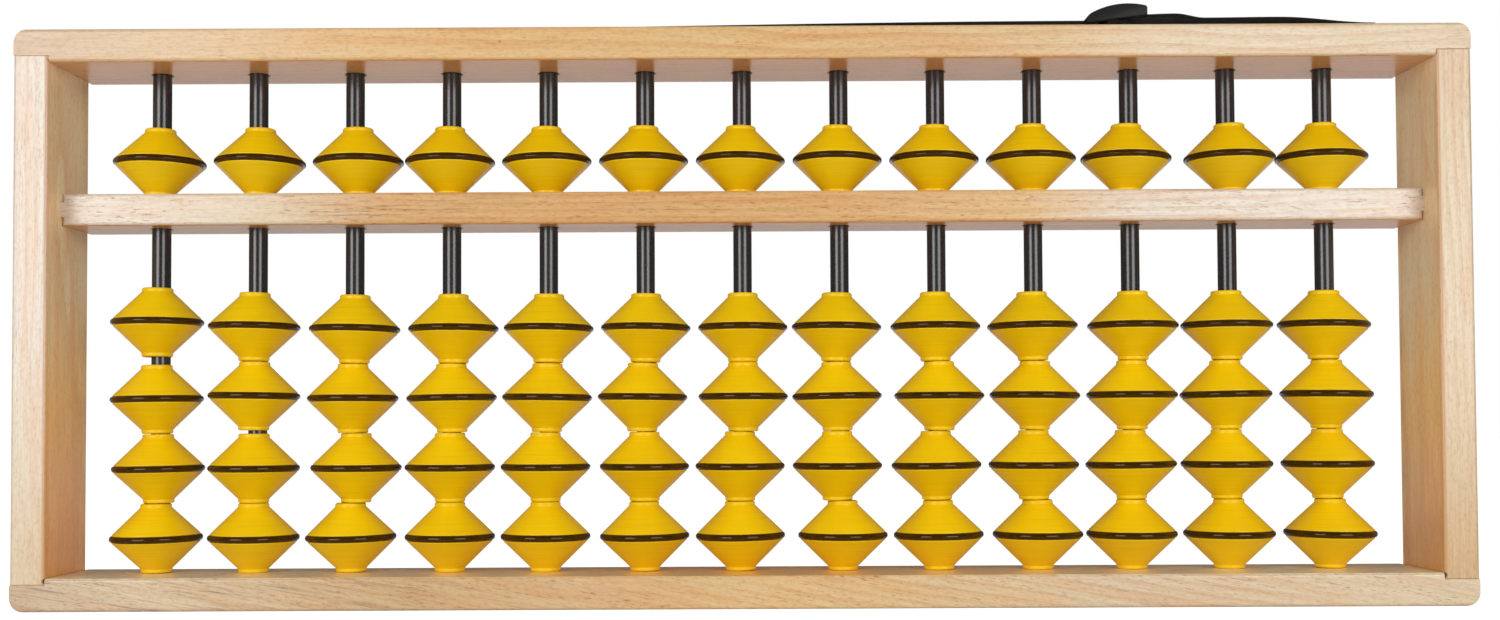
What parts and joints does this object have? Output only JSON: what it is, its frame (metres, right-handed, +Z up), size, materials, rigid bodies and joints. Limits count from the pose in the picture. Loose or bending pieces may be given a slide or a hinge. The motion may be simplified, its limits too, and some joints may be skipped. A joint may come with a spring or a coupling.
{
  "type": "abacus",
  "caption": "Large wooden-framed teaching abacus with double-cone beads sliding on upright rods, a dividing beam and a webbing strap.",
  "frame": {"origin": "centre of the footprint, on the underside of the bottom rail", "axes": "+X to the right along the rails, +Y from the front face towards the back, +Z up along the rods"},
  "size_m": [0.58, 0.046, 0.2417],
  "materials": {
    "wood": "gloss",
    "rod": "satin",
    "bead": "gloss",
    "ring": "gloss",
    "webbing": "matte",
    "slider": "satin",
    "screw": "satin"
  },
  "bodies": {
    "frame": {"top_rail": "wood", "bottom_rail": "wood", "left_stile": "wood", "right_stile": "wood", "beam": "wood", "rod_01": "rod", "rod_02": "rod", "rod_03": "rod", "rod_04": "rod", "rod_05": "rod", "rod_06": "rod", "rod_07": "rod", "rod_08": "rod", "rod_09": "rod", "rod_10": "rod", "rod_11": "rod", "rod_12": "rod", "rod_13": "rod", "hanging_strap": "webbing", "strap_slider": "slider", "strap_screws": "screw"},
    "upper_bead_01": {"upper_bead_01": "bead"},
    "lower_beads_bottom_01": {"lower_beads_bottom_01": "bead"},
    "lower_beads_top_01": {"lower_beads_top_01": "bead"},
    "upper_bead_02": {"upper_bead_02": "bead"},
    "lower_beads_bottom_02": {"lower_beads_bottom_02": "bead"},
    "lower_beads_top_02": {"lower_beads_top_02": "bead"},
    "upper_bead_03": {"upper_bead_03": "bead"},
    "lower_beads_bottom_03": {"lower_beads_bottom_03": "bead"},
    "lower_beads_top_03": {"lower_beads_top_03": "bead"},
    "upper_bead_04": {"upper_bead_04": "bead"},
    "lower_beads_bottom_04": {"lower_beads_bottom_04": "bead"},
    "lower_beads_top_04": {"lower_beads_top_04": "bead"},
    "upper_bead_05": {"upper_bead_05": "bead"},
    "lower_beads_bottom_05": {"lower_beads_bottom_05": "bead"},
    "lower_beads_top_05": {"lower_beads_top_05": "bead"},
    "upper_bead_06": {"upper_bead_06": "bead"},
    "lower_beads_bottom_06": {"lower_beads_bottom_06": "bead"},
    "lower_beads_top_06": {"lower_beads_top_06": "bead"},
    "upper_bead_07": {"upper_bead_07": "bead"},
    "lower_beads_bottom_07": {"lower_beads_bottom_07": "bead"},
    "lower_beads_top_07": {"lower_beads_top_07": "bead"},
    "upper_bead_08": {"upper_bead_08": "bead"},
    "lower_beads_bottom_08": {"lower_beads_bottom_08": "bead"},
    "lower_beads_top_08": {"lower_beads_top_08": "bead"},
    "upper_bead_09": {"upper_bead_09": "bead"},
    "lower_beads_bottom_09": {"lower_beads_bottom_09": "bead"},
    "lower_beads_top_09": {"lower_beads_top_09": "bead"},
    "upper_bead_10": {"upper_bead_10": "bead"},
    "lower_beads_bottom_10": {"lower_beads_bottom_10": "bead"},
    "lower_beads_top_10": {"lower_beads_top_10": "bead"},
    "upper_bead_11": {"upper_bead_11": "bead"},
    "lower_beads_bottom_11": {"lower_beads_bottom_11": "bead"},
    "lower_beads_top_11": {"lower_beads_top_11": "bead"},
    "upper_bead_12": {"upper_bead_12": "bead"},
    "lower_beads_bottom_12": {"lower_beads_bottom_12": "bead"},
    "lower_beads_top_12": {"lower_beads_top_12": "bead"},
    "upper_bead_13": {"upper_bead_13": "bead"},
    "lower_beads_bottom_13": {"lower_beads_bottom_13": "bead"},
    "lower_beads_top_13": {"lower_beads_top_13": "bead"}
  },
  "joints": [
    {"name": "upper_bead_01_slide", "type": "slide", "parent": "frame", "child": "upper_bead_01", "axis": [0, 0, 1], "range_m": [0, 0.0224]},
    {"name": "lower_beads_bottom_01_slide", "type": "slide", "parent": "frame", "child": "lower_beads_bottom_01", "axis": [0, 0, -1], "range_m": [-0.0243, 0]},
    {"name": "lower_beads_top_01_slide", "type": "slide", "parent": "lower_beads_bottom_01", "child": "lower_beads_top_01", "axis": [0, 0, 1], "range_m": [-0.0032, 0.0243]},
    {"name": "upper_bead_02_slide", "type": "slide", "parent": "frame", "child": "upper_bead_02", "axis": [0, 0, 1], "range_m": [0, 0.0224]},
    {"name": "lower_beads_bottom_02_slide", "type": "slide", "parent": "frame", "child": "lower_beads_bottom_02", "axis": [0, 0, -1], "range_m": [-0.0263, 0]},
    {"name": "lower_beads_top_02_slide", "type": "slide", "parent": "lower_beads_bottom_02", "child": "lower_beads_top_02", "axis": [0, 0, 1], "range_m": [-0.0012, 0.0263]},
    {"name": "upper_bead_03_slide", "type": "slide", "parent": "frame", "child": "upper_bead_03", "axis": [0, 0, 1], "range_m": [0, 0.0224]},
    {"name": "lower_beads_bottom_03_slide", "type": "slide", "parent": "frame", "child": "lower_beads_bottom_03", "axis": [0, 0, -1], "range_m": [-0.0275, 0]},
    {"name": "lower_beads_top_03_slide", "type": "slide", "parent": "lower_beads_bottom_03", "child": "lower_beads_top_03", "axis": [0, 0, 1], "range_m": [0, 0.0275]},
    {"name": "upper_bead_04_slide", "type": "slide", "parent": "frame", "child": "upper_bead_04", "axis": [0, 0, 1], "range_m": [0, 0.0224]},
    {"name": "lower_beads_bottom_04_slide", "type": "slide", "parent": "frame", "child": "lower_beads_bottom_04", "axis": [0, 0, -1], "range_m": [-0.0275, 0]},
    {"name": "lower_beads_top_04_slide", "type": "slide", "parent": "lower_beads_bottom_04", "child": "lower_beads_top_04", "axis": [0, 0, 1], "range_m": [0, 0.0275]},
    {"name": "upper_bead_05_slide", "type": "slide", "parent": "frame", "child": "upper_bead_05", "axis": [0, 0, 1], "range_m": [0, 0.0224]},
    {"name": "lower_beads_bottom_05_slide", "type": "slide", "parent": "frame", "child": "lower_beads_bottom_05", "axis": [0, 0, -1], "range_m": [-0.0275, 0]},
    {"name": "lower_beads_top_05_slide", "type": "slide", "parent": "lower_beads_bottom_05", "child": "lower_beads_top_05", "axis": [0, 0, 1], "range_m": [0, 0.0275]},
    {"name": "upper_bead_06_slide", "type": "slide", "parent": "frame", "child": "upper_bead_06", "axis": [0, 0, 1], "range_m": [0, 0.0224]},
    {"name": "lower_beads_bottom_06_slide", "type": "slide", "parent": "frame", "child": "lower_beads_bottom_06", "axis": [0, 0, -1], "range_m": [-0.0275, 0]},
    {"name": "lower_beads_top_06_slide", "type": "slide", "parent": "lower_beads_bottom_06", "child": "lower_beads_top_06", "axis": [0, 0, 1], "range_m": [0, 0.0275]},
    {"name": "upper_bead_07_slide", "type": "slide", "parent": "frame", "child": "upper_bead_07", "axis": [0, 0, 1], "range_m": [0, 0.0224]},
    {"name": "lower_beads_bottom_07_slide", "type": "slide", "parent": "frame", "child": "lower_beads_bottom_07", "axis": [0, 0, -1], "range_m": [-0.0275, 0]},
    {"name": "lower_beads_top_07_slide", "type": "slide", "parent": "lower_beads_bottom_07", "child": "lower_beads_top_07", "axis": [0, 0, 1], "range_m": [0, 0.0275]},
    {"name": "upper_bead_08_slide", "type": "slide", "parent": "frame", "child": "upper_bead_08", "axis": [0, 0, 1], "range_m": [0, 0.0224]},
    {"name": "lower_beads_bottom_08_slide", "type": "slide", "parent": "frame", "child": "lower_beads_bottom_08", "axis": [0, 0, -1], "range_m": [-0.0275, 0]},
    {"name": "lower_beads_top_08_slide", "type": "slide", "parent": "lower_beads_bottom_08", "child": "lower_beads_top_08", "axis": [0, 0, 1], "range_m": [0, 0.0275]},
    {"name": "upper_bead_09_slide", "type": "slide", "parent": "frame", "child": "upper_bead_09", "axis": [0, 0, 1], "range_m": [0, 0.0224]},
    {"name": "lower_beads_bottom_09_slide", "type": "slide", "parent": "frame", "child": "lower_beads_bottom_09", "axis": [0, 0, -1], "range_m": [-0.0275, 0]},
    {"name": "lower_beads_top_09_slide", "type": "slide", "parent": "lower_beads_bottom_09", "child": "lower_beads_top_09", "axis": [0, 0, 1], "range_m": [0, 0.0275]},
    {"name": "upper_bead_10_slide", "type": "slide", "parent": "frame", "child": "upper_bead_10", "axis": [0, 0, 1], "range_m": [0, 0.0224]},
    {"name": "lower_beads_bottom_10_slide", "type": "slide", "parent": "frame", "child": "lower_beads_bottom_10", "axis": [0, 0, -1], "range_m": [-0.0275, 0]},
    {"name": "lower_beads_top_10_slide", "type": "slide", "parent": "lower_beads_bottom_10", "child": "lower_beads_top_10", "axis": [0, 0, 1], "range_m": [0, 0.0275]},
    {"name": "upper_bead_11_slide", "type": "slide", "parent": "frame", "child": "upper_bead_11", "axis": [0, 0, 1], "range_m": [0, 0.0224]},
    {"name": "lower_beads_bottom_11_slide", "type": "slide", "parent": "frame", "child": "lower_beads_bottom_11", "axis": [0, 0, -1], "range_m": [-0.0275, 0]},
    {"name": "lower_beads_top_11_slide", "type": "slide", "parent": "lower_beads_bottom_11", "child": "lower_beads_top_11", "axis": [0, 0, 1], "range_m": [0, 0.0275]},
    {"name": "upper_bead_12_slide", "type": "slide", "parent": "frame", "child": "upper_bead_12", "axis": [0, 0, 1], "range_m": [0, 0.0224]},
    {"name": "lower_beads_bottom_12_slide", "type": "slide", "parent": "frame", "child": "lower_beads_bottom_12", "axis": [0, 0, -1], "range_m": [-0.0275, 0]},
    {"name": "lower_beads_top_12_slide", "type": "slide", "parent": "lower_beads_bottom_12", "child": "lower_beads_top_12", "axis": [0, 0, 1], "range_m": [0, 0.0275]},
    {"name": "upper_bead_13_slide", "type": "slide", "parent": "frame", "child": "upper_bead_13", "axis": [0, 0, 1], "range_m": [0, 0.0224]},
    {"name": "lower_beads_bottom_13_slide", "type": "slide", "parent": "frame", "child": "lower_beads_bottom_13", "axis": [0, 0, -1], "range_m": [-0.0275, 0]},
    {"name": "lower_beads_top_13_slide", "type": "slide", "parent": "lower_beads_bottom_13", "child": "lower_beads_top_13", "axis": [0, 0, 1], "range_m": [0, 0.0275]}
  ]
}
